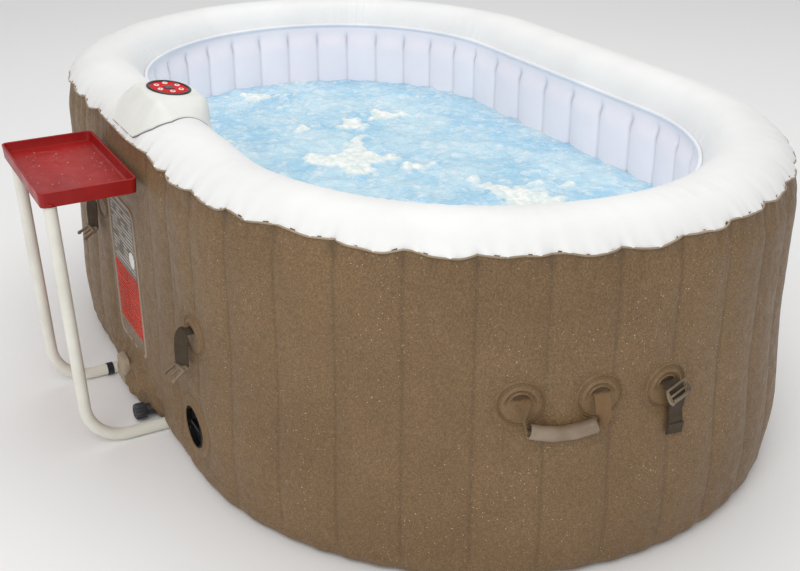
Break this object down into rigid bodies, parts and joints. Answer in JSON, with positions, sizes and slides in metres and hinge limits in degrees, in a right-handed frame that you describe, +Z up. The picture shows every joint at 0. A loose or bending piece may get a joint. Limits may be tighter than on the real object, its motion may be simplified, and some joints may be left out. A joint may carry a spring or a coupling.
{
  "type": "inflatable hot tub",
  "caption": "Oval inflatable hot tub with ribbed brown wall, white rim, built-in control saddle with round panel, lid straps, carry handles and a drinks tray on a bent stand.",
  "frame": {"origin": "middle of the tub's underside, on the floor", "axes": "+X along the tub, -Y towards the control side, +Z up"},
  "size_m": [1.9308, 1.4755, 0.69],
  "materials": {
    "outer_skin": "embossed brown vinyl laminate",
    "inner_liner": "smooth pale vinyl",
    "rim_vinyl": "satin white vinyl",
    "piping": "smooth white bead",
    "ground_sheet": "matt brown vinyl",
    "foam_pad": "closed-cell foam",
    "web_panels": "woven web",
    "ivory_plastic": "satin moulded",
    "grey_plastic": "moulded",
    "dark_plastic": "moulded",
    "motor_metal": "painted",
    "heater_steel": "brushed",
    "hose_rubber": "smooth",
    "filter_paper": "pleated",
    "bezel_black": "gloss",
    "panel_red": "gloss",
    "display_dark": "gloss",
    "board_green": "solder mask",
    "button_white": "satin",
    "patch_vinyl": "embossed brown vinyl",
    "strap_webbing": "woven webbing",
    "handle_webbing": "woven webbing",
    "buckle_plastic": "moulded",
    "grip_rubber": "matt",
    "port_black": "gloss",
    "label_film": "clear film over printed card",
    "tray_red": "satin moulded",
    "leg_enamel": "powder coat"
  },
  "bodies": {
    "tub": {"outer_wall": "outer_skin", "inner_wall": "inner_liner", "top_rim": "rim_vinyl", "inner_piping": "piping", "base_sheet": "ground_sheet", "floor_pad": "foam_pad", "floor_liner": "inner_liner", "wall_ribs": "web_panels", "bubble_channel": "inner_liner", "control_saddle": "ivory_plastic", "inner_column": "ivory_plastic", "machine_case": "grey_plastic", "panel_bezel": "bezel_black", "panel_fascia": "panel_red", "display_window": "display_dark", "control_board": "board_green", "filter_housing": "grey_plastic", "pump_casing": "grey_plastic", "pump_motor": "motor_metal", "heater_tube": "heater_steel", "unit_hoses": "hose_rubber", "return_nozzle": "ivory_plastic", "blower_casing": "grey_plastic", "weld_patches": "patch_vinyl", "inflation_port": "port_black", "drain_body": "dark_plastic", "cord_gland": "dark_plastic", "label_pocket": "label_film"},
    "filter": {"filter_cartridge": "filter_paper", "filter_grille": "ivory_plastic"},
    "impeller": {"pump_impeller": "dark_plastic"},
    "fan": {"blower_fan": "dark_plastic"},
    "port_cap": {"port_cap": "port_black"},
    "drain_cap": {"drain_cap": "dark_plastic"},
    "stand": {"stand_leg_near": "leg_enamel", "stand_leg_far": "leg_enamel", "leg_fittings": "dark_plastic"},
    "tray": {"tray": "tray_red"},
    "button_power": {"button_power": "button_white"},
    "button_heat": {"button_heat": "button_white"},
    "button_bubbles": {"button_bubbles": "button_white"},
    "button_up": {"button_up": "button_white"},
    "button_filter": {"button_filter": "button_white"},
    "button_down": {"button_down": "button_white"},
    "strap_1": {"strap_web_1": "strap_webbing", "strap_buckle_1": "buckle_plastic"},
    "strap_2": {"strap_web_2": "strap_webbing", "strap_buckle_2": "buckle_plastic"},
    "strap_3": {"strap_web_3": "strap_webbing", "strap_buckle_3": "buckle_plastic"},
    "strap_4": {"strap_web_4": "strap_webbing", "strap_buckle_4": "buckle_plastic"},
    "strap_5": {"strap_web_5": "strap_webbing", "strap_buckle_5": "buckle_plastic"},
    "strap_6": {"strap_web_6": "strap_webbing", "strap_buckle_6": "buckle_plastic"},
    "handle_front": {"handle_web_front": "handle_webbing", "handle_grip_front": "grip_rubber"},
    "handle_rear": {"handle_web_rear": "handle_webbing", "handle_grip_rear": "grip_rubber"}
  },
  "joints": [
    {"name": "press_power", "type": "slide", "parent": "tub", "child": "button_power", "axis": [-0.0863, -0.1392, -0.9865], "range_m": [0, 0.001], "stiffness_N_per_m": 400},
    {"name": "press_heat", "type": "slide", "parent": "tub", "child": "button_heat", "axis": [-0.0863, -0.1392, -0.9865], "range_m": [0, 0.001], "stiffness_N_per_m": 400},
    {"name": "press_bubbles", "type": "slide", "parent": "tub", "child": "button_bubbles", "axis": [-0.0863, -0.1392, -0.9865], "range_m": [0, 0.001], "stiffness_N_per_m": 400},
    {"name": "press_up", "type": "slide", "parent": "tub", "child": "button_up", "axis": [-0.0863, -0.1392, -0.9865], "range_m": [0, 0.001], "stiffness_N_per_m": 400},
    {"name": "press_filter", "type": "slide", "parent": "tub", "child": "button_filter", "axis": [-0.0863, -0.1392, -0.9865], "range_m": [0, 0.001], "stiffness_N_per_m": 400},
    {"name": "press_down", "type": "slide", "parent": "tub", "child": "button_down", "axis": [-0.0863, -0.1392, -0.9865], "range_m": [0, 0.001], "stiffness_N_per_m": 400},
    {"name": "strap_1_swing", "type": "hinge", "parent": "tub", "child": "strap_1", "pos_m": [0.959, -0.0011, 0.347], "axis": [-0.0017, -1, 0], "range_deg": [0, 155]},
    {"name": "strap_2_swing", "type": "hinge", "parent": "tub", "child": "strap_2", "pos_m": [0.38154, -0.62689, 0.33], "axis": [-0.9966, -0.0819, 0], "range_deg": [0, 155]},
    {"name": "strap_3_swing", "type": "hinge", "parent": "tub", "child": "strap_3", "pos_m": [-0.195, -0.629, 0.395], "axis": [-1, 0, 0], "range_deg": [0, 155]},
    {"name": "strap_4_swing", "type": "hinge", "parent": "tub", "child": "strap_4", "pos_m": [-0.959, 0.0011, 0.347], "axis": [0.0017, 1, 0], "range_deg": [0, 155]},
    {"name": "strap_5_swing", "type": "hinge", "parent": "tub", "child": "strap_5", "pos_m": [-0.38154, 0.62689, 0.33], "axis": [0.9966, 0.0819, 0], "range_deg": [0, 155]},
    {"name": "strap_6_swing", "type": "hinge", "parent": "tub", "child": "strap_6", "pos_m": [0.195, 0.629, 0.395], "axis": [1, 0, 0], "range_deg": [0, 155]},
    {"name": "handle_front_swing", "type": "hinge", "parent": "tub", "child": "handle_front", "pos_m": [0.92855, -0.19333, 0.355], "axis": [-0.3074, -0.9516, 0], "range_deg": [0, 120]},
    {"name": "handle_rear_swing", "type": "hinge", "parent": "tub", "child": "handle_rear", "pos_m": [-0.92855, 0.19333, 0.355], "axis": [0.3074, 0.9516, 0], "range_deg": [0, 120]},
    {"name": "filter_pull", "type": "slide", "parent": "tub", "child": "filter", "axis": [0, 1, 0], "range_m": [0, 0.16]},
    {"name": "impeller_spin", "type": "hinge", "parent": "tub", "child": "impeller", "pos_m": [-0.04, -0.5, 0.15], "axis": [0, 1, 0], "continuous": true},
    {"name": "fan_spin", "type": "hinge", "parent": "tub", "child": "fan", "pos_m": [-0.045, -0.526, 0.51], "axis": [0, 0, 1], "continuous": true},
    {"name": "port_cap_turn", "type": "hinge", "parent": "tub", "child": "port_cap", "pos_m": [0.347, -0.614, 0.117], "axis": [0, -1, 0], "range_deg": [0, 90]},
    {"name": "drain_cap_turn", "type": "hinge", "parent": "tub", "child": "drain_cap", "pos_m": [0.088, -0.654, 0.022], "axis": [0, -1, 0], "range_deg": [0, 270]},
    {"name": "stand_slide", "type": "slide", "parent": "tub", "child": "stand", "axis": [0, -1, 0], "range_m": [0, 0.18]},
    {"name": "tray_lift", "type": "slide", "parent": "stand", "child": "tray", "axis": [0, 0, 1], "range_m": [0, 0.06]}
  ]
}
